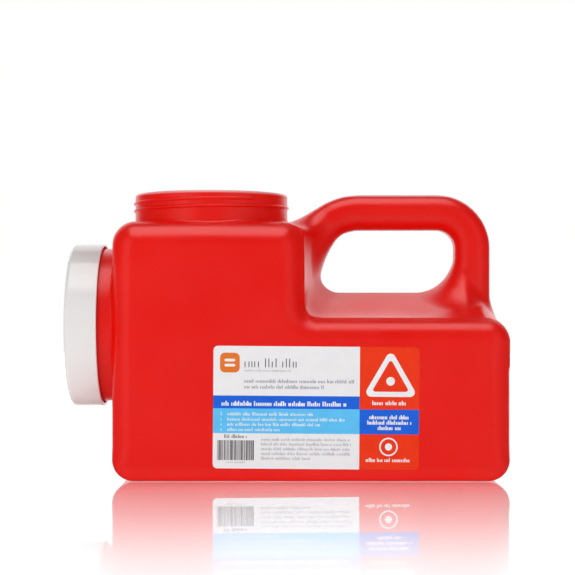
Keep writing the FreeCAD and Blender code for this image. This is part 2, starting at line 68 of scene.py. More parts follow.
# the stepped block, the neck on top of it and the boss on its left
RIGHT, HALF_Y, NECK_TOP = SHELL_HIGH
LEFT, TOWER_RIGHT, TOWER_TOP, BASE_TOP = -118.5, 11.0, 176.5, 109.5
CORNER_R, STEP_R, EDGE_R, BASE_R = 15.5, 10.0, 15.0, 1.5
WALL = 1.8
NECK_X, BORE_R = round(MOUTH["pos_m"][0] / MM, 1), MOUTH["dims"]["r_mm"]
NECK_R, NECK_ROOT_R, MOUTH_R = BORE_R + 2.0, 1.2, 2.4
BOSS_Z, BOSS_END = round((CAP_LOW[2] + CAP_HIGH[2]) / 2, 1), SHELL_LOW[0]
BOSS_ROOT, BOSS_EDGE_R, BOSS_ROOT_R = -100.0, 2.4, 2.0
CAP_FACE, CAP_RIM, CAP_R, CAP_BORE = CAP_LOW[0], CAP_HIGH[0], CAP_HIGH[1], 55.5

# how far the walls sink between their edges, and the middle and reach of each hollow
SIDE_SINK, SIDE_Z, SIDE_TALL, SIDE_WIDE = 0.7, 54.0, 44.0, 52.0
TOP_SINK, TOP_X, TOP_WIDE = 0.8, -53.75, 65.0
FRONT_SINK, FRONT_X, FRONT_WIDE, FRONT_Z, FRONT_TALL = 0.45, -53.0, 52.0, 134.0, 34.0

# the thread, which starts at a share of a turn
CREST, PITCH, TURNS, THREAD_BELOW, THREAD_START = 1.1, 5.08, 1.5, 12.6, 125.5 / 360.0

# the sloping top and the leaning wall: the shares of each plane's normal, where the plane
# meets the parting plane at Y = 0, and how far it reaches
RIDGE_R, ROOF_R, HIP_R, PROW_R, VALLEY_R, MELT = 1.5, 3.0, 9.0, 6.0, 13.7, 8.0
ROOF_SIDE, ROOF_UP, ROOF_RIDGE, ROOF_HALF_Y, ROOF_FOOT = 0.347, 0.938, 128.0, 52.0, 80.0
HIP_OUT, HIP_TURN, HIP_SLOPE = 261.0, 0.25, 0.69
PROW_SIDE, PROW_OUT, PROW_RIDGE, PROW_TOP, PROW_FOOT = 0.2334, 0.972, 23.0, 172.0, 90.0

# the grip: half its height and width, and the middle line that it follows
GRIP_TALL, GRIP_WIDE, GRIP_ROUND = 12.5, 15.0, 11.0
GRIP_TOP, GRIP_RIGHT = NECK_TOP - GRIP_TALL, 143.5 - GRIP_TALL
GRIP_BEND, GRIP_LEG_FOOT = 25.2, 100.0
ROOT_BEND, ROOT_X, ROOT_ANGLE, ROOT_RUN = 40.5, 51.6, math.radians(42.0), 46.0
FAR = 1e3


def length(*parts):
    """Length of the vector with these parts."""
    total = 0.0
    for part in parts:
        total = total + part * part
    return np.sqrt(total)


def step(low, high, value):
    """Smooth ramp from 0 at low to 1 at high."""
    t = np.clip((value - low) / (high - low), 0.0, 1.0)
    return t * t * (3.0 - 2.0 * t)


def bump(value):
    """1 at zero, easing to 0 at plus or minus one."""
    t = np.clip(1.0 - value * value, 0.0, 1.0)
    return t * t


def round_and(a, b, r):
    """Where both hold, with the outer corner rounded to radius r."""
    a = a + r
    b = b + r
    return np.minimum(np.maximum(a, b), 0.0) + length(np.maximum(a, 0.0), np.maximum(b, 0.0)) - r


def round_or(a, b, r):
    """Either, with the inner corner filled to radius r."""
    return np.maximum(r, np.minimum(a, b)) - length(np.maximum(r - a, 0.0), np.maximum(r - b, 0.0))


def blend_or(a, b, k):
    """Either, melted together over a distance k."""
    t = np.maximum(k - np.abs(a - b), 0.0) / k
    return np.minimum(a, b) - t * t * t * k / 6.0


def rectangle(x, y, centre, half, r):
    """A rectangle with rounded corners."""
    return round_and(np.abs(x - centre[0]) - half[0], np.abs(y - centre[1]) - half[1], r)


def block(x, y, z):
    """Tall part and lower part, with panels that sink slightly between their edges."""
    xs = x + SIDE_SINK * bump((z - SIDE_Z) / SIDE_TALL) * bump(y / SIDE_WIDE) * step(60.0, 140.0, x)
    aside = np.clip(np.abs(x - TOP_X) / TOP_WIDE, 0.0, 1.0)
    zs = z + TOP_SINK * aside ** 2 * step(120.0, 165.0, z)
    centre = (LEFT + RIGHT) / 2, TOWER_TOP / 2
    outline = rectangle(xs, zs, centre, ((RIGHT - LEFT) / 2, TOWER_TOP / 2), CORNER_R)
    notch = round_and(TOWER_RIGHT - xs, BASE_TOP - zs, STEP_R)
    outline = round_and(outline, -notch, CORNER_R)
    # the upright edges: tighter at the base and the lower part's top, fuller at the tower's top
    base, tower = step(26.0, 3.0, z), step(146.0, 172.0, z)
    ledge = step(84.0, 106.0, z) * step(4.0, 20.0, x)
    edge = EDGE_R - 5.5 * base + 3.0 * tower - 2.0 * ledge
    dent = FRONT_SINK * bump((x - FRONT_X) / FRONT_WIDE) * bump((z - FRONT_Z) / FRONT_TALL)
    return round_and(outline, np.abs(y) - HALF_Y + dent, edge)


def recess(x, y, z):
    """Shallow hollow under the base."""
    margin, deep, corner_r = 22.0, 2.5, 12.0
    half = (RIGHT - LEFT) / 2 - margin, HALF_Y - margin
    side = rectangle(x, y, ((LEFT + RIGHT) / 2, 0.0), half, corner_r)
    return np.maximum(side, z - deep)


def path_distance(x, z):
    """Distance in the side view from the middle line of the handle's bar."""
    # from the foot up the leg, round the right bend and along the top
    bend_x, bend_z = GRIP_RIGHT - GRIP_BEND, GRIP_TOP - GRIP_BEND
    leg = length(x - GRIP_RIGHT, z - np.clip(z, GRIP_LEG_FOOT, bend_z))
    over = length(x - np.clip(x, ROOT_X, bend_x), z - GRIP_TOP)
    right = np.abs(length(x - bend_x, z - bend_z) - GRIP_BEND)
    right = np.where((x > bend_x) & (z > bend_z), right, FAR)
    # round the left bend, then straight down into the tall part
    root_z = GRIP_TOP - ROOT_BEND
    turn = np.arctan2(-(x - ROOT_X), z - root_z)
    left = np.abs(length(x - ROOT_X, z - root_z) - ROOT_BEND)
    left = np.where((turn > 0.0) & (turn < ROOT_ANGLE), left, FAR)
    sine, cosine = math.sin(ROOT_ANGLE), math.cos(ROOT_ANGLE)
    end_x, end_z = ROOT_X - ROOT_BEND * sine, root_z + ROOT_BEND * cosine
    along = np.clip((x - end_x) * -cosine + (z - end_z) * -sine, 0.0, ROOT_RUN)
    root = length(x - end_x + along * cosine, z - end_z + along * sine)
    return np.minimum(np.minimum(np.minimum(leg, over), np.minimum(right, left)), root)


def bar(x, y, z):
    """The grip, with a rounded section."""
    return round_and(path_distance(x, z) - GRIP_TALL, np.abs(y) - GRIP_WIDE, GRIP_ROUND)


def from_parting(y):
    """Distance from the parting plane, eased so that a ridge there is soft."""
    return length(y, RIDGE_R) - RIDGE_R


def roof(x, y, z):
    """Sloping top of the lower part: it rises from the shoulders to the parting plane."""
    near = from_parting(y)
    slope = near * ROOF_SIDE + (z - ROOF_RIDGE) * ROOF_UP
    hip = round_and((x + z + HIP_TURN * near - HIP_OUT) * HIP_SLOPE, x - RIGHT, HIP_R)
    side = np.maximum(np.maximum(np.abs(y) - ROOF_HALF_Y, ROOF_FOOT - z), -x)
    return np.maximum(round_and(slope, hip, ROOF_R), side)


def prow(x, y, z):
    """The tall part's right wall, which leans out to the finger hole at the parting plane."""
    wall = (x - PROW_RIDGE) * PROW_OUT + from_parting(y) * PROW_SIDE
    wall = round_and(wall, z - PROW_TOP, PROW_R)
    side = np.maximum(np.abs(y) - ROOF_HALF_Y, PROW_FOOT - z)
    return np.maximum(wall, np.maximum(side, -x))


def boss(x, y, z):
    """Closed round boss on the left side that the cap is stored on."""
    side = round_and(length(y, z - BOSS_Z) - NECK_R, BOSS_END - x, BOSS_EDGE_R)
    return np.maximum(side, x - BOSS_ROOT)


def hull(x, y, z):
    """The shell's outside without its neck."""
    top = round_or(roof(x, y, z), prow(x, y, z), VALLEY_R)
    # where the grip meets them: 18 at its left root, 27 inside the leg and 7 outside it
    corner_r = 27.0 - 20.0 * step(122.0, 140.0, x) - 9.0 * step(80.0, 50.0, x)
    top = round_or(top, bar(x, y, z), corner_r)
    body = blend_or(block(x, y, z), top, MELT)
    body = round_or(body, boss(x, y, z), BOSS_ROOT_R)
    # the melting bulges, so the right wall is cut just short of the CAD box
    short = 0.03
    body = np.maximum(body, x - RIGHT + short)
    return round_and(body, -recess(x, y, z), BASE_R)


def neck_column(x, y, z, radius):
    """A stretch of the neck's cylinder, which the shell is cut through."""
    foot, top = 160.0, 190.0
    return np.maximum(length(x - NECK_X, y) - radius, np.maximum(z - top, foot - z))


def outside(x, y, z):
    """Signed distance to the shell's outer skin, negative within."""
    return round_or(hull(x, y, z), neck_column(x, y, z, NECK_R), NECK_ROOT_R)


def inside(x, y, z):
    """Signed distance to the inner skin, turned so that the room is outside it."""
    room = hull(x, y, z) + WALL
    return -round_or(room, neck_column(x, y, z, BORE_R), MOUTH_R)


# ------------------------------------------------------------ polygonising
def surface(function, cell, low, high):
    """Surface nets over a grid, then each vertex is moved onto the surface. Millimetres."""
    axes = [np.arange(low[i], high[i] + cell, cell, dtype=np.float64) for i in range(3)]
    within = sample(function, axes) < 0.0
    count = corners_within(within)
    crossing = (count > 0) & (count < 8)
    cells = np.argwhere(crossing)
    number = np.full(crossing.shape, -1, dtype=np.int64)
    number[crossing] = np.arange(len(cells))
    origin = np.array([axis[0] for axis in axes])
    points = settle(function, origin + (cells + 0.5) * cell, cell)
    faces = np.concatenate([net_faces(within, number, axis) for axis in range(3)])
    return points, faces[(faces >= 0).all(axis=1)]


def sample(function, axes):
    """The function's value at every point of a grid."""
    field = np.empty([len(axis) for axis in axes], dtype=np.float32)
    ys, zs = np.meshgrid(axes[1], axes[2], indexing="ij")
    for i, x in enumerate(axes[0]):
        field[i] = function(np.full_like(ys, x), ys, zs)
    return field


def corners_within(within):
    """How many of each cell's eight corners are within the shape."""
    nx, ny, nz = (size - 1 for size in within.shape)
    count = np.zeros((nx, ny, nz), dtype=np.int8)
    for a in (0, 1):
        for b in (0, 1):
            for c in (0, 1):
                count += within[a : nx + a, b : ny + b, c : nz + c]
    return count


def net_faces(within, number, axis):
    """Quads round the grid edges along one axis that the surface crosses."""
    b, c = (axis + 1) % 3, (axis + 2) % 3
    front = [slice(1, -1)] * 3
    back = [slice(1, -1)] * 3
    front[axis] = slice(0, -1)
    back[axis] = slice(1, None)
    first, second = within[tuple(front)], within[tuple(back)]
    faces = []
    for leaving in (True, False):
        here = np.argwhere(first & ~second if leaving else ~first & second)
        here[:, b] += 1
        here[:, c] += 1
        quad = []
        for db, dc in ((-1, -1), (0, -1), (0, 0), (-1, 0)):
            at = here.copy()
            at[:, b] += db
            at[:, c] += dc
            quad.append(number[at[:, 0], at[:, 1], at[:, 2]])
        quad = np.stack(quad, axis=1)
        faces.append(quad if leaving else quad[:, ::-1])
    return np.concatenate(faces)


def settle(function, points, cell):
    """Move points onto the surface in Newton steps, none of them longer than a cell."""
    least_slope = 0.25
    for _ in range(3):
        value = function(*points.T)
        slope = gradient(function, points)
        size = np.maximum((slope * slope).sum(axis=1), least_slope)
        move = slope * (value / size)[:, None]
        reach = np.sqrt((move * move).sum(axis=1))
        limit = np.minimum(1.0, cell / np.maximum(reach, 1e-9))
        points = points - move * limit[:, None]
    return points


def gradient(function, points):
    """The function's slope at each point, from points a little way to either side."""
    reach = 0.05
    slope = np.empty_like(points)
    for axis in range(3):
        shift = np.zeros(3)
        shift[axis] = reach
        rise = function(*(points + shift).T) - function(*(points - shift).T)
        slope[:, axis] = rise / (2 * reach)
    return slope


def add_mesh(name, points, faces, normals=None, materials=(), face_materials=None):
    """A mesh object from points in millimetres."""
    mesh = bpy.data.meshes.new(name)
    points = np.asarray(points, dtype=np.float64) * MM
    if isinstance(faces, np.ndarray):
        mesh.vertices.add(len(points))
        mesh.vertices.foreach_set("co", points.ravel())
        mesh.loops.add(faces.size)
        mesh.loops.foreach_set("vertex_index", faces.ravel().astype(np.int32))
        mesh.polygons.add(len(faces))
        starts = np.arange(0, faces.size, faces.shape[1], dtype=np.int32)
        mesh.polygons.foreach_set("loop_start", starts)
        mesh.update(calc_edges=True)
        mesh.validate()
    else:
        mesh.from_pydata([tuple(p) for p in points], [], faces)
    mesh.polygons.foreach_set("use_smooth", [True] * len(mesh.polygons))
    for material in materials:
        mesh.materials.append(material)
    if face_materials is not None:
        mesh.polygons.foreach_set("material_index", np.asarray(face_materials, dtype=np.int32))
    if normals is not None:
        mesh.normals_split_custom_set_from_vertices([tuple(n) for n in normals])
    mesh.update()
    obj = bpy.data.objects.new(name, mesh)
    bpy.context.scene.collection.objects.link(obj)
    return obj


def unit_normals(function, points):
    """Outward normals of a signed distance function's surface."""
    normals = gradient(function, points)
    return normals / np.maximum(np.sqrt((normals * normals).sum(axis=1)), 1e-9)[:, None]


def cut_above(points, faces, height, radius):
    """Drop the neck above a height and pull the cut edge onto its circle there."""
    margin = 6.0
    spread = length(points[:, 0] - NECK_X, points[:, 1])
    high = (points[:, 2] > height) & (spread < radius + margin)
    faces = faces[~high[faces].all(axis=1)]
    points = points.copy()
    scale = radius / spread[high]
    points[high, 0] = NECK_X + (points[high, 0] - NECK_X) * scale
    points[high, 1] = points[high, 1] * scale
    points[high, 2] = height
    used = np.unique(faces)
    number = np.full(len(points), -1, dtype=np.int64)
    number[used] = np.arange(len(used))
    return points[used], number[faces]


def thread_rise(turn_here, height, start_turn, start_height, turns):
    """How much of a ridge is under a point of a neck: 1 on the crest, 0 off it."""
    early, late = 0.004, 0.006  # of a turn, over which an end of the ridge rises
    foot, flat = 1.15, 0.5  # from the ridge's middle line
    rise = np.zeros_like(height)
    ahead = (turn_here - start_turn) % 1.0
    for lap in range(math.ceil(turns) + 1):
        along = ahead + lap
        away = np.abs(height - start_height - PITCH * along)
        ends = step(-early, late, along) * step(turns + early, turns - late, along)
        rise = np.maximum(rise, step(foot, flat, away) * ends)
    return rise


def lathe(profile, steps, place, rise=None):
    """Turn a profile of (radius, height) pairs round an axis; place maps to the frame.

    A radius of zero at either end closes the shape there.
    """
    profile = np.asarray(profile, dtype=np.float64)
    closed_first = profile[0, 0] == 0.0
    closed_last = profile[-1, 0] == 0.0
    rings = profile[int(closed_first) : len(profile) - int(closed_last)]
    turns, row = np.meshgrid(np.arange(steps) / steps, np.arange(len(rings)))
    radius = rings[:, 0][row]
    height = rings[:, 1][row]
    if rise is not None:
        radius = radius + rise(turns, height, row)
    angle = turns * 2 * math.pi
    points = place(radius * np.cos(angle), radius * np.sin(angle), height).reshape(-1, 3)
    ring_start = np.arange(len(rings) - 1)[:, None] * steps
    next_ring = ring_start + steps
    here = np.arange(steps)[None, :]
    after = (here + 1) % steps
    corners = [ring_start + here, ring_start + after, next_ring + after, next_ring + here]
    quads = np.stack(corners, axis=-1).reshape(-1, 4)
    even = np.arange(0, steps, 2)
    ends = ((closed_first, 0, 0, 1), (closed_last, -1, len(rings) - 1, -1))
    for closed, end, ring, order in ends:
        if not closed:
            continue
        pole = place(np.zeros(1), np.zeros(1), profile[[end], 1])
        around = [(even + 2) % steps, even + 1, even]
        fan = [np.full(len(even), len(points))] + [ring * steps + corner for corner in around]
        points = np.concatenate([points, pole])
        quads = np.concatenate([quads, np.stack(fan, axis=-1)[:, ::order]])
    return points, quads


def arc_points(cx, cz, r, start, end, count):
    """Points of an arc of a profile, angles in degrees."""
    angles = np.radians(np.linspace(start, end, count))
    return [(cx + r * math.cos(a), cz + r * math.sin(a)) for a in angles]


def upright_neck(x, y, height):
    """The neck's own axis to the frame: height is Z."""
    return np.stack([x + NECK_X, y, height], axis=-1)


def outward_boss(x, y, height):
    """Axis +Z turned to -X, as the CAD boss is: height runs out to the left."""
    return np.stack([-height, y, x + BOSS_Z], axis=-1)


def join(*parts):
    """Several (points, faces, normals) as one."""
    points = []
    faces = []
    normals = []
    offset = 0
    for part_points, part_faces, part_normals in parts:
        points.append(part_points)
        faces.append(part_faces + offset)
        normals.append(part_normals)
        offset += len(part_points)
    return np.concatenate(points), np.concatenate(faces), np.concatenate(normals)


def grid_normals(points, faces):
    """Vertex normals of a quad mesh, weighted by face area."""
    corner = points[faces]
    face = np.cross(corner[:, 2] - corner[:, 0], corner[:, 3] - corner[:, 1])
    normals = np.zeros_like(points)
    for i in range(4):
        np.add.at(normals, faces[:, i], face)
    return normals / np.maximum(np.sqrt((normals * normals).sum(axis=1)), 1e-12)[:, None]


def neck_mesh(cut_height):
    """The neck above the cut: threaded outside, a rounded lip, and the plain bore."""
    lip_wide, lip_tall, lip_inside = 1.4, 2.4, 0.5
    row_gap, around = 0.3, 720
    profile = [(NECK_R, z) for z in np.arange(cut_height, NECK_TOP - lip_tall, row_gap)]
    outer = len(profile)
    for turn in np.radians(np.arange(4.0, 91.0, 4.3)):
        across, up = lip_wide * (1.0 - math.cos(turn)), lip_tall * (1.0 - math.sin(turn))
        profile.append((NECK_R - across, NECK_TOP - up))
    profile += arc_points(BORE_R + lip_inside, NECK_TOP - lip_inside, lip_inside, 100, 180, 6)
    bore_top = NECK_TOP - 2.0 * lip_inside
    profile += [(BORE_R, z) for z in np.linspace(bore_top, cut_height, 10)]

    def rise(turns, height, row):
        amount = thread_rise(turns, height, THREAD_START, NECK_TOP - THREAD_BELOW, TURNS)
        return np.where(row < outer, amount * CREST, 0.0)

    points, faces = lathe(profile, around, upright_neck, rise)
    return points, faces, grid_normals(points, faces)


def ridge_mesh(radius, rise, start_turn, start_height, turns, place, steps):
    """A separate helical ridge whose root is sunk into the wall it stands on."""
    sunk = 0.35
    # half of the section: (share of the rise, or under 0 for the root; distance along the axis)
    section = [(-1.0, -1.1), (0.0, -1.1), (0.55, -0.85), (0.95, -0.66), (1.0, -0.5)]
    section = section + [(out, -up) for out, up in reversed(section)]
    along = np.linspace(0.0, turns, steps)
    early, late = 0.001, 0.012  # of a turn, over which an end of the ridge rises
    ends = np.minimum(step(-early, late, along), step(turns + early, turns - late, along))
    ends = np.maximum(ends, 0.02)
    angle = (start_turn + along) * 2 * math.pi
    rows = []
    for out, up in section:
        r = radius + np.sign(rise) * (-sunk if out < 0 else abs(rise) * out * ends)
        height = start_height + PITCH * along + up
        rows.append(place(r * np.cos(angle), r * np.sin(angle), height))
    points = np.stack(rows, axis=0).reshape(-1, 3)
    count = len(section)
    row, column = np.meshgrid(np.arange(count), np.arange(steps - 1), indexing="ij")
    here, after = row * steps + column, (row + 1) % count * steps + column
    faces = np.stack([here, here + 1, after + 1, after], axis=-1).reshape(-1, 4)
    pairs = [(i, i + 1, count - 2 - i, count - 1 - i) for i in range(count // 2 - 1)]
    first = np.array(pairs) * steps
    last = (first + steps - 1)[:, ::-1]
    faces = np.concatenate([faces, first, last])
    if rise < 0:
        faces = faces[:, ::-1]
    return points, faces, grid_normals(points, faces)


def shell_mesh():
    """The whole container: outer and inner skins, the neck above the cut, the boss's thread."""
    cut = 181.0
    margin = 2.0
    low = (CAP_FACE, -HALF_Y - margin, -margin)
    high = (RIGHT + margin, HALF_Y + margin, NECK_TOP + margin)
    skins = []
    for skin, cell, radius in ((outside, 1.5, NECK_R), (inside, 1.8, BORE_R)):
        points, faces = surface(skin, cell, low, high)
        points, faces = cut_above(points, faces, cut, radius)
        skins.append((points, faces, unit_normals(skin, points)))
    start = -BOSS_END - THREAD_BELOW
    thread = ridge_mesh(NECK_R, CREST, THREAD_START, start, TURNS, outward_boss, 500)
    return join(*skins, neck_mesh(cut), thread)


# ---------------------------------------------------------------- cap and liner
def cap_mesh():
    """Screw cap on the side boss: face, smooth skirt, rounded rim, bore and inner ridge."""
    face_wall, ridge_rise, ridge_up = 1.8, 1.2, 3.2
    face, rim = -CAP_FACE, -CAP_RIM
    under = face - face_wall
    edge, lip, corner = 3.1, 0.7, 1.0
    profile = [(0.0, under), (20.0, under), (40.0, under), (54.3, under)]
    profile += arc_points(CAP_BORE - corner, under - corner, corner, 80, 0, 5)
    profile += [(CAP_BORE, h) for h in np.linspace(under - 2.0, rim + lip + 0.4, 14)]
    profile += arc_points(CAP_BORE + lip, rim + lip, lip, 180, 270, 6)
    profile += arc_points(CAP_R - lip, rim + lip, lip, 270, 360, 6)
    profile += [(CAP_R, h) for h in np.linspace(rim + lip + 0.5, face - edge - 0.3, 16)]
    profile += arc_points(CAP_R - edge, face - edge, edge, 0, 90, 12)
    # a shallow panel in the face, with a small moulding dot at its middle: (radius, depth)
    panel = [(51.0, 0.0), (49.6, 0.06), (48.8, 0.36), (47.6, 0.4), (30.0, 0.4), (6.0, 0.4)]
    dot = [(4.6, 0.4), (4.2, 0.7), (3.4, 0.8), (1.4, 0.8), (1.1, 0.55), (0.0, 0.5)]
    profile += [(r, face - deep) for r, deep in panel + dot]
    points, faces = lathe(profile, 480, outward_boss)
    shell = (points, faces, grid_normals(points, faces))
    # half a turn from the boss's thread, so it lies midway between that thread's turns
    start = rim + ridge_up
    turn = THREAD_START + (start - (-BOSS_END - THREAD_BELOW)) / PITCH - 0.5
    ridge = ridge_mesh(CAP_BORE, -ridge_rise, turn, start, TURNS, outward_boss, 400)
    return join(shell, ridge)


def liner_mesh():
    """Foam disc with the ring that the boss's end presses into it."""
    top, bottom = -LINER_LOW[0], -LINER_HIGH[0]
    radius, edge = 54.6, 0.3
    # the side towards the boss: (radius, depth of the pressed ring)
    pressed = [(0.0, 0.0), (20.0, 0.0), (46.0, 0.0), (48.6, 0.02)]
    pressed += [(49.6, 0.16), (51.0, 0.2), (53.0, 0.2), (53.8, 0.1)]
    profile = [(r, bottom + deep) for r, deep in pressed]
    profile += arc_points(radius, bottom + edge, edge, 270, 360, 5)
    profile += arc_points(radius, top - edge, edge, 0, 90, 5)
    profile += [(r, top) for r in (50.0, 30.0, 10.0, 0.0)]
    points, faces = lathe(profile, 240, outward_boss)
    return points, faces, grid_normals(points, faces)


# ---------------------------------------------------------------- materials
def node_maker(tree):
    """A maker of nodes in a tree: in_Name sets an input, any other name a setting."""

    def node(kind, **settings):
        made = tree.nodes.new(kind)
        for key, setting in settings.items():
            if key.startswith("in_"):
                made.inputs[key[3:].replace("_", " ")].default_value = setting
            else:
                setattr(made, key, setting)
        return made

    return node


def new_material(name):
    """A node material, its tree, its shader, its texture coordinates and a maker of nodes."""
    material = bpy.data.materials.new(name)
    material.use_nodes = True
    tree = material.node_tree
    place = tree.nodes.new("ShaderNodeTexCoord")
    return material, tree, tree.nodes["Principled BSDF"], place, node_maker(tree)


def noise(tree, place, node, scale, detail):
    """Noise in the object's own space; scale is in features per metre."""
    texture = node("ShaderNodeTexNoise", in_Scale=scale, in_Detail=detail)
    tree.links.new(place.outputs["Object"], texture.inputs["Vector"])
    return texture.outputs["Fac"]


def split_place(tree, place, node):
    """X, Y and Z in the object's own space, in metres."""
    made = node("ShaderNodeSeparateXYZ")
    tree.links.new(place.outputs["Object"], made.inputs["Vector"])
    return made.outputs


def ranged(tree, node, source, low, high, start=0.3, end=0.7, curve="SMOOTHSTEP"):
    """Low where the source is at start, high where it is at end, and a curve between."""
    made = node("ShaderNodeMapRange", interpolation_type=curve)
    made.inputs["From Min"].default_value = start
    made.inputs["From Max"].default_value = end
    made.inputs["To Min"].default_value = low
    made.inputs["To Max"].default_value = high
    tree.links.new(source, made.inputs["Value"])
    return made.outputs["Result"]


def two_tone(tree, node, source, first, second):
    """A drift between two colours, over the middle of the source's range."""
    ramp = node("ShaderNodeValToRGB")
    ramp.color_ramp.interpolation = "EASE"
    for element, position, color in zip(ramp.color_ramp.elements, (0.3, 0.7), (first, second)):
        element.position = position
        element.color = (*color, 1.0)
    tree.links.new(source, ramp.inputs["Fac"])
    return ramp.outputs["Color"]


def bumps(tree, node, layers):
    """Chain of bump nodes; each layer is (height, strength, distance in metres)."""
    normal = None
    for height, strength, distance in layers:
        made = node("ShaderNodeBump", in_Strength=strength, in_Distance=distance)
        tree.links.new(height, made.inputs["Height"])
        if normal is not None:
            tree.links.new(normal, made.inputs["Normal"])
        normal = made.outputs["Normal"]
    return normal


def parting_line(tree, place, node):
    """Height of the fine raised line where the two halves of the mould meet, at Y = 0."""
    away = node("ShaderNodeMath", operation="ABSOLUTE")
    tree.links.new(split_place(tree, place, node)["Y"], away.inputs[0])
    return ranged(tree, node, away.outputs["Value"], 1.0, 0.0, 0.0001, 0.0006)


def painted_lip_highlight(tree, place, node, color):
    """Painted highlight: the neck's lip is made paler, as light from above catches it."""
    # the painted highlight's colour, and the most of it mixed in at the lip
    highlight_color, most = (0.90, 0.46, 0.47, 1.0), 0.8
    height = split_place(tree, place, node)["Z"]
    mixed = node("ShaderNodeMix", data_type="RGBA")
    amount = ranged(tree, node, height, 0.0, most, 0.1948, 0.1964)
    tree.links.new(amount, mixed.inputs["Factor"])
    first, second = [socket for socket in mixed.inputs if socket.type == "RGBA"]
    tree.links.new(color, first)
    second.default_value = highlight_color
    return next(socket for socket in mixed.outputs if socket.type == "RGBA")


def plastic(name, first, second, rough, waves, peel, specular=0.5, tone_scale=9.0, blown_with_lip_highlight=False):
    """Moulded plastic: slow colour drift, uneven gloss, long waves and fine orange peel.

    waves and peel are (features per metre, height in metres). A blown one also has the
    parting line of a blow moulding and a painted highlight on the neck's lip.
    """
    material, tree, shader, place, node = new_material(name)
    shader.inputs["Specular IOR Level"].default_value = specular
    tone = noise(tree, place, node, tone_scale, 4.0)
    color = two_tone(tree, node, tone, first, second)
    if blown_with_lip_highlight:
        # paint the highlight on the neck's lip into the colour
        color = painted_lip_highlight(tree, place, node, color)
    tree.links.new(color, shader.inputs["Base Color"])
    gloss = noise(tree, place, node, 38.0, 5.0)
    tree.links.new(ranged(tree, node, gloss, *rough), shader.inputs["Roughness"])
    long_wave = noise(tree, place, node, waves[0], 1.0)
    fine = noise(tree, place, node, peel[0], 2.0)
    layers = [(long_wave, 1.0, waves[1]), (fine, 1.0, peel[1])]
    if blown_with_lip_highlight:
        layers.append((parting_line(tree, place, node), 1.0, 0.00025))
    tree.links.new(bumps(tree, node, layers), shader.inputs["Normal"])
    return material


def printed(name, color, drift=0.03):
    """Ink or film on the label: faint mottling and a slightly uneven gloss."""
    dark = tuple(max(c * (1.0 - drift), 0.0) for c in color)
    light = tuple(min(c * (1.0 + drift), 1.0) for c in color)
    rough, waves, peel = (0.285, 0.35), (60.0, 0.000012), (1400.0, 0.000002)
    return plastic(name, dark, light, rough, waves, peel, specular=0.35, tone_scale=120.0)


def foam(name):
    """Matte foam with fine open cells."""
    material, tree, shader, place, node = new_material(name)
    tone = noise(tree, place, node, 300.0, 4.0)
    color = two_tone(tree, node, tone, (0.70, 0.70, 0.67), (0.84, 0.84, 0.81))
    tree.links.new(color, shader.inputs["Base Color"])
    shader.inputs["Roughness"].default_value = 0.85
    cells = node("ShaderNodeTexVoronoi", in_Scale=1600.0)
    tree.links.new(place.outputs["Object"], cells.inputs["Vector"])
    normal = bumps(tree, node, [(cells.outputs["Distance"], 0.6, 0.00025)])
    tree.links.new(normal, shader.inputs["Normal"])
    return material


RED = plastic(
    "container_plastic",
    (0.81, 0.0034, 0.0003),
    (0.84, 0.0048, 0.0006),
    rough=(0.285, 0.345),
    waves=(26.0, 0.00012),
    peel=(520.0, 0.000006),
    specular=0.42,
    blown_with_lip_highlight=True,
)
WHITE = plastic(
    "cap_plastic",
    (0.80, 0.79, 0.78),
    (0.84, 0.83, 0.82),
    rough=(0.12, 0.19),
    waves=(30.0, 0.00008),
    peel=(700.0, 0.000006),
)
FOAM = foam("liner_foam")
FILM = printed("label_film", (0.85, 0.85, 0.86), 0.015)
ORANGE_RED = printed("print_orange_red", (0.87, 0.035, 0.0015))
ROYAL = printed("print_royal_blue", (0.007, 0.125, 0.73))
SKY = printed("print_light_blue", (0.110, 0.545, 0.93))
PALE = printed("print_white", (0.86, 0.87, 0.88))
SLATE = printed("print_slate", (0.27, 0.27, 0.36), 0.1)
SOFT = printed("print_soft_grey", (0.44, 0.44, 0.47), 0.1)
DARK = printed("print_dark", (0.085, 0.08, 0.085), 0.1)
AMBER = printed("print_amber", (0.80, 0.19, 0.02))
PRINTS = [FILM, ORANGE_RED, ROYAL, SKY, PALE, SLATE, SOFT, DARK, AMBER]


# ---------------------------------------------------------------- labels
FILM_LOW, FILM_HIGH = -0.1, 0.13
BAND_LOW, BAND_HIGH = 0.1, 0.16
PRINT_LOW, PRINT_HIGH = 0.15, 0.19
SQUARE = (0, 0, 0, 0)
LABEL_LEFT, LABEL_TOP, LABEL_TILT = -49.0, 91.8, math.radians(0.45)
LABEL_WIDE, LABEL_TALL, LABEL_CORNER = 137.9, 82.0, 3
BACK_LOW, BACK_HIGH = box_mm("fill_line_label")


class Sheet:
    """A label's meshes, in its own millimetres: u to the right, v down, from its top left."""

    def __init__(self, place):
        self.place = place
        self.points = []
        self.faces = []
        self.kinds = []

    def prism(self, outline, low, high, material, inner=None):
        """A raised flat shape; with an inner outline of as many points it is a ring."""
        first = len(self.points)
        count = len(outline)
        loops = [(outline, low), (outline, high)]
        if inner is not None:
            loops += [(inner, high), (inner, low)]
        for loop, depth in loops:
            self.points += [self.place(u, v, depth) for u, v in loop]
        faces = []
        for i in range(count):
            j = (i + 1) % count
            for loop in range(len(loops) - 1):
                a = first + loop * count
                faces.append((a + i, a + j, a + count + j, a + count + i))
        if inner is None:
            faces.append(tuple(first + count + i for i in range(count)))
        self.faces += faces
        self.kinds += [PRINTS.index(material)] * len(faces)

    def film(self, wide, tall):
        corners = (LABEL_CORNER,) * 4
        self.prism(rounded(0, 0, wide, tall, corners), FILM_LOW, FILM_HIGH, FILM)

    def band(self, outline, material):
        self.prism(outline, BAND_LOW, BAND_HIGH, material)

    def ink(self, outline, material, inner=None):
        self.prism(outline, PRINT_LOW, PRINT_HIGH, material, inner)


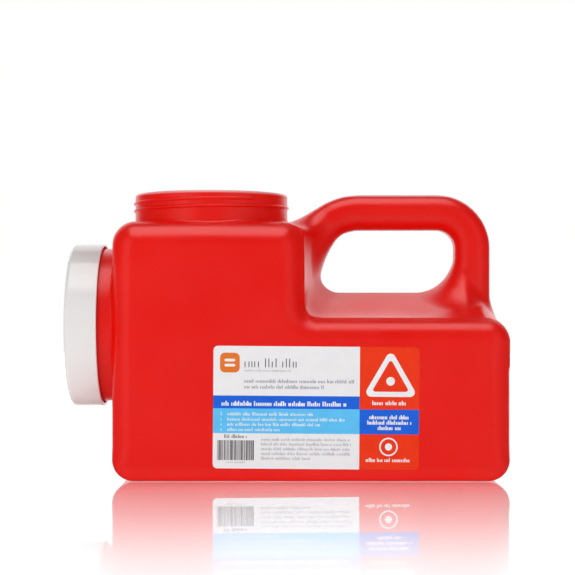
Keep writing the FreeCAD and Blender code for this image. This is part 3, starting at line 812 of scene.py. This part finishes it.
def rounded(left, top, right, bottom, radii, steps=5):
    """Outline of a rectangle with a radius for each corner, clockwise from its top left."""
    centres = [(left, top, 1, 1), (right, top, -1, 1), (right, bottom, -1, -1), (left, bottom, 1, -1)]
    outline = []
    for i, (u, v, du, dv) in enumerate(centres):
        r = radii[i]
        if r == 0.0:
            outline.append((u, v))
            continue
        for k in range(steps + 1):
            a = math.radians(180 + 90 * i + 90 * k / steps)
            outline.append((u + du * r + r * math.cos(a), v + dv * r + r * math.sin(a)))
    return outline


def ring_outline(u, v, r, steps=40):
    """A circle about (u, v)."""
    angles = [2 * math.pi * k / steps for k in range(steps)]
    return [(u + r * math.cos(a), v + r * math.sin(a)) for a in angles]


def triangle_outline(u, v, size, r, steps=8):
    """A triangle standing on its side, with rounded corners; size is centre to corner."""
    outline = []
    for k in range(3):
        a = math.radians(-90 + 120 * k)
        cu, cv = u + (size - 2 * r) * math.cos(a), v + (size - 2 * r) * math.sin(a)
        for i in range(steps + 1):
            b = a + math.radians(-60 + 120 * i / steps)
            outline.append((cu + r * math.cos(b), cv + r * math.sin(b)))
    return outline


def words(sheet, draw, left, right, v, tall, material, weight=0.5):
    """A line of stand-in print: groups of upright strokes, with no letters in it.

    v is the line's middle, and weight is a stroke's share of the pitch.
    """
    pitch, gap = 0.36 * tall, 0.42 * tall
    corners = (0.08 * tall,) * 4
    foot = v + tall * 0.5
    u = left
    while u + pitch < right:
        for _ in range(draw.choice((4, 5, 7, 8, 10, 12, 14))):
            if u + pitch > right:
                break
            up = draw.choice((0.66, 0.66, 0.66, 1.0))
            stroke = rounded(u, foot - tall * up, u + pitch * weight, foot, corners, 2)
            sheet.ink(stroke, material)
            u += pitch * draw.uniform(0.8, 1.2)
        u += gap


def bars(sheet, draw, left, right, top, bottom):
    """Upright bars of random widths and gaps."""
    u = left
    while u < right - 0.4:
        bar_wide = draw.choice((0.32, 0.32, 0.6, 0.9))
        sheet.ink(rounded(u, top, min(u + bar_wide, right), bottom, SQUARE), DARK)
        u += bar_wide + draw.choice((0.3, 0.3, 0.6))


def front_place(u, v, out):
    """Front label's own place to the frame: it is tilted a little clockwise."""
    x = LABEL_LEFT + u * math.cos(LABEL_TILT) - v * math.sin(LABEL_TILT)
    z = LABEL_TOP - u * math.sin(LABEL_TILT) - v * math.cos(LABEL_TILT)
    return (x, -HALF_Y - out, z)


def back_place(u, v, out):
    """Back label's own place to the frame, seen from behind."""
    return (BACK_HIGH[0] - u, HALF_Y + out, BACK_HIGH[2] - v)


def front_label():
    """White on the left with two blue bands, and an orange-red column with a blue block."""
    sheet = Sheet(front_place)
    draw = random.Random(8)
    wide, tall, round_r = LABEL_WIDE, LABEL_TALL, LABEL_CORNER
    column, title, block_top, block_foot = 98.0, 33.2, 41.8, 58.4
    sheet.film(wide, tall)
    sheet.band(rounded(column, 0.0, wide, block_top, (0, round_r, 0, 0)), ORANGE_RED)
    sheet.band(rounded(column, block_foot, wide, tall, (0, 0, round_r, 0)), ORANGE_RED)
    sheet.band(rounded(column, block_top, wide, block_foot, SQUARE), ROYAL)
    sheet.band(rounded(0.0, title, column, block_top, SQUARE), ROYAL)
    sheet.band(rounded(0.0, block_top, column, block_foot, SQUARE), SKY)
    white_part(sheet, draw)
    red_part(sheet, draw)
    return sheet


def white_part(sheet, draw):
    """A plain mark, lines of stand-in print and bars."""
    sheet.band(rounded(4.4, 4.6, 17.6, 17.8, (3.2,) * 4), AMBER)
    for top in (8.6, 12.0):
        sheet.ink(rounded(7.4, top, 14.6, top + 1.8, (0.9,) * 4), PALE)
    text_left = 20.8
    words(sheet, draw, text_left, 60.5, 11.2, 6.2, SLATE, 0.3)
    words(sheet, draw, text_left, 52.0, 16.4, 1.2, SOFT)
    words(sheet, draw, text_left, 94.6, 23.3, 2.6, SLATE)
    words(sheet, draw, text_left, 75.2, 27.2, 2.6, SLATE)
    words(sheet, draw, 5.6, 89.9, 38.4, 3.3, PALE, 0.74)
    for v, right in ((45.4, 67.2), (48.9, 88.6), (52.3, 71.9), (55.8, 46.4)):
        words(sheet, draw, 5.3, 6.8, v, 2.3, PALE)
        words(sheet, draw, 9.6, right, v, 2.3, PALE)
    words(sheet, draw, 7.6, 23.0, 60.4, 2.5, DARK)
    bars(sheet, draw, 2.9, 27.7, 63.1, 76.4)
    words(sheet, draw, 8.6, 22.0, 77.8, 1.0, SOFT)
    for v, right in ((62.3, 92.4), (65.4, 92.6), (68.6, 92.0), (71.8, 92.2), (74.9, 65.8)):
        words(sheet, draw, 32.4, right, v, 2.1, SOFT)


def red_part(sheet, draw):
    """A plain caution mark, a ring with a dot, and centred lines."""
    mark_u, ring_u, ring_v, middle = 118.6, 117.5, 66.8, 118.2
    inner = triangle_outline(mark_u, 22.6, 14.6, 1.4)
    sheet.ink(triangle_outline(mark_u, 22.6, 21.4, 3.2), PALE, inner)
    sheet.ink(ring_outline(mark_u, 22.9, 2.9), PALE)
    words(sheet, draw, 106.4, 130.4, 37.4, 3.0, PALE, 0.66)
    for v, half in ((46.9, 13.7), (50.5, 15.0), (54.1, 8.0)):
        words(sheet, draw, middle - half, middle + half, v, 2.9, PALE, 0.7)
    sheet.ink(ring_outline(ring_u, ring_v, 6.2), PALE, ring_outline(ring_u, ring_v, 5.2))
    sheet.ink(ring_outline(ring_u, ring_v, 2.4), PALE)
    words(sheet, draw, 102.4, 132.6, 75.6, 2.7, PALE, 0.66)


def back_label():
    """A line to fill to, with an arrowhead over each end."""
    sheet = Sheet(back_place)
    draw = random.Random(21)
    sheet.film(BACK_HIGH[0] - BACK_LOW[0], BACK_HIGH[2] - BACK_LOW[2])
    sheet.ink(rounded(6.0, 8.6, 94.0, 10.0, (0.7,) * 4), DARK)
    for u in (6.0, 89.0):
        sheet.ink([(u, 4.2), (u + 5.0, 4.2), (u + 2.5, 7.8)], DARK)
    words(sheet, draw, 26.0, 74.0, 15.4, 3.2, DARK)
    words(sheet, draw, 20.0, 80.0, 20.6, 2.2, SOFT)
    words(sheet, draw, 30.0, 70.0, 24.4, 2.2, SOFT)
    return sheet


def add_sheet(name, sheet):
    """A label's object, with flat faces."""
    obj = add_mesh(name, sheet.points, sheet.faces, None, PRINTS, sheet.kinds)
    obj.data.polygons.foreach_set("use_smooth", [False] * len(obj.data.polygons))
    return obj


# ---------------------------------------------------------------- pieces
def put(obj, body, node):
    """Ride a piece on its body, in place of its CAD node."""
    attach(obj, body)
    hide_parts(node)


shell = add_mesh("container_shell", *shell_mesh(), [RED])
put(shell, "container", "container_body")
put(add_mesh("cap_shell", *cap_mesh(), [WHITE]), "cap", "screw_cap")
put(add_mesh("liner_disc", *liner_mesh(), [FOAM]), "liner", "cap_liner")
front = add_sheet("front_label_sheet", front_label())
put(front, "container", "front_label")
back = add_sheet("fill_line_sheet", back_label())
put(back, "container", "fill_line_label")


# ---------------------------------------------------------------- stage
def soft_box(name, where, aim, size, radiance, mirrored=True):
    """A rectangular light of a given brightness, 1 being as bright as the background."""
    light = bpy.data.lights.new(name, "AREA")
    light.shape = "RECTANGLE"
    light.size, light.size_y = size
    light.energy = radiance * math.pi * size[0] * size[1]
    obj = bpy.data.objects.new(name, light)
    obj.location = where
    obj.rotation_euler = (Vector(aim) - Vector(where)).to_track_quat("-Z", "Y").to_euler()
    obj.visible_glossy = mirrored
    bpy.context.scene.collection.objects.link(obj)
    return obj


def low_behind(tree, node):
    """1 towards the low backdrop behind the object, 0 overhead, beside and in front."""
    place = node("ShaderNodeTexCoord")
    split = node("ShaderNodeSeparateXYZ")
    tree.links.new(place.outputs["Generated"], split.inputs["Vector"])
    lifted = node("ShaderNodeMath", operation="MULTIPLY_ADD")
    lifted.inputs[1].default_value = 0.3
    tree.links.new(split.outputs["Z"], lifted.inputs[0])
    tree.links.new(split.outputs["Y"], lifted.inputs[2])
    behind = ranged(tree, node, lifted.outputs["Value"], 0.0, 1.0, 0.66, 0.89)
    high = ranged(tree, node, split.outputs["Z"], 0.0, 1.0, 0.70, 0.86)
    left = node("ShaderNodeMath", operation="SUBTRACT", use_clamp=True)
    tree.links.new(behind, left.inputs[0])
    tree.links.new(high, left.inputs[1])
    return left.outputs["Value"]


def studio_world(fill, dim, back):
    """White to the camera and even for diffuse light; its reflection is dim but bright behind."""
    world = bpy.data.worlds.new("studio")
    bpy.context.scene.world = world
    world.use_nodes = True
    tree = world.node_tree
    node = node_maker(tree)

    def glow(strength):
        return node("ShaderNodeBackground", in_Color=(1, 1, 1, 1), in_Strength=strength)

    scaled = node("ShaderNodeMath", operation="MULTIPLY_ADD")
    scaled.inputs[1].default_value = back - dim
    scaled.inputs[2].default_value = dim
    tree.links.new(low_behind(tree, node), scaled.inputs[0])
    mirrored = glow(dim)
    tree.links.new(scaled.outputs["Value"], mirrored.inputs["Strength"])
    path = node("ShaderNodeLightPath")
    result = mirrored.outputs["Background"]
    for ray, strength in (("Is Diffuse Ray", fill), ("Is Camera Ray", 1.0)):
        mix = node("ShaderNodeMixShader")
        tree.links.new(path.outputs[ray], mix.inputs["Fac"])
        tree.links.new(result, mix.inputs[1])
        tree.links.new(glow(strength).outputs["Background"], mix.inputs[2])
        result = mix.outputs["Shader"]
    tree.links.new(result, tree.nodes["World Output"].inputs["Surface"])


def mirror_amount(tree, place, node):
    """Most at the object's front, less forward of it, none behind, aside or seen from above."""

    def joined(operation, first, second=None):
        made = node("ShaderNodeMath", operation=operation)
        tree.links.new(first, made.inputs[0])
        if second is not None:
            tree.links.new(second, made.inputs[1])
        return made.outputs["Value"]

    split = split_place(tree, place, node)
    facing = node("ShaderNodeLayerWeight", in_Blend=0.5).outputs["Facing"]
    aside = joined("ABSOLUTE", split["X"])
    amount = ranged(tree, node, split["Y"], 0.0, 0.81, -0.60, -HALF_Y * MM, "LINEAR")
    for source, start, end in ((split["Y"], 0.2, 0.0), (aside, 0.3, 0.2), (facing, 0.80, 0.87)):
        amount = joined("MULTIPLY", amount, ranged(tree, node, source, 0.0, 1.0, start, end))
    return amount


def floor_material():
    """White floor, part of which mirrors the object under a low view."""
    material, tree, shader, place, node = new_material("pale_floor")
    tone = noise(tree, place, node, 3.0, 2.0)
    color = two_tone(tree, node, tone, (0.91, 0.91, 0.91), (0.93, 0.93, 0.93))
    tree.links.new(color, shader.inputs["Base Color"])
    shader.inputs["Specular IOR Level"].default_value = 0.1
    shader.inputs["Roughness"].default_value = 0.3
    shader.inputs["Emission Color"].default_value = (1, 1, 1, 1)
    # the lamps fade further out, so the floor's own glow makes up for them there
    out = node("ShaderNodeVectorMath", operation="LENGTH")
    tree.links.new(place.outputs["Object"], out.inputs["Vector"])
    glow = ranged(tree, node, out.outputs["Value"], 0.4, 0.72, 0.9, 2.4)
    tree.links.new(glow, shader.inputs["Emission Strength"])
    mirror = node("ShaderNodeBsdfGlossy", in_Roughness=0.02, in_Color=(0.97, 0.97, 0.97, 1))
    mixed = node("ShaderNodeMixShader")
    tree.links.new(mirror_amount(tree, place, node), mixed.inputs["Fac"])
    tree.links.new(shader.outputs["BSDF"], mixed.inputs[1])
    tree.links.new(mirror.outputs["BSDF"], mixed.inputs[2])
    tree.links.new(mixed.outputs["Shader"], tree.nodes["Material Output"].inputs["Surface"])
    return material


def lights():
    """One soft box overhead, as a reflection and as light, and two beside the camera."""
    above, below, overhead_size = (0.0, -0.40, 1.25), (0.0, -0.40, 0.0), (1.1, 1.0)
    reflection = soft_box("overhead_gloss", above, below, overhead_size, 3.1)
    reflection.visible_diffuse = False
    soft_box("overhead", above, below, overhead_size, 2.35, False)
    middle, fill_size = (0, 0, 0.1), (0.9, 0.9)
    soft_box("fill_left", (-0.95, -1.05, 0.4), middle, fill_size, 2.3, False)
    soft_box("fill_right", (0.95, -1.05, 0.4), middle, fill_size, 1.2, False)


def add_floor():
    """Just under the base, and wide enough to have no edge in sight."""
    half, z = 3000, -0.2
    corners = [(-half, -half, z), (half, -half, z), (half, half, z), (-half, half, z)]
    floor = add_mesh("floor", corners, [(0, 1, 2, 3)], None, [floor_material()])
    floor.visible_glossy = False


def add_camera():
    """Square on to the label from about 1.1 m, a little above the lower part's top."""
    camera = bpy.data.objects.new("camera", bpy.data.cameras.new("camera"))
    camera.data.sensor_width = 36.0
    camera.data.lens = 96.5
    camera.data.shift_y = 0.0357
    camera.location = (0.00045, -1.096, 0.117)
    camera.rotation_euler = (math.radians(90), 0, 0)
    bpy.context.scene.collection.objects.link(camera)
    bpy.context.scene.camera = camera


bpy.context.scene.view_settings.view_transform = "Standard"
studio_world(fill=0.28, dim=0.04, back=1.4)
lights()
add_floor()
add_camera()
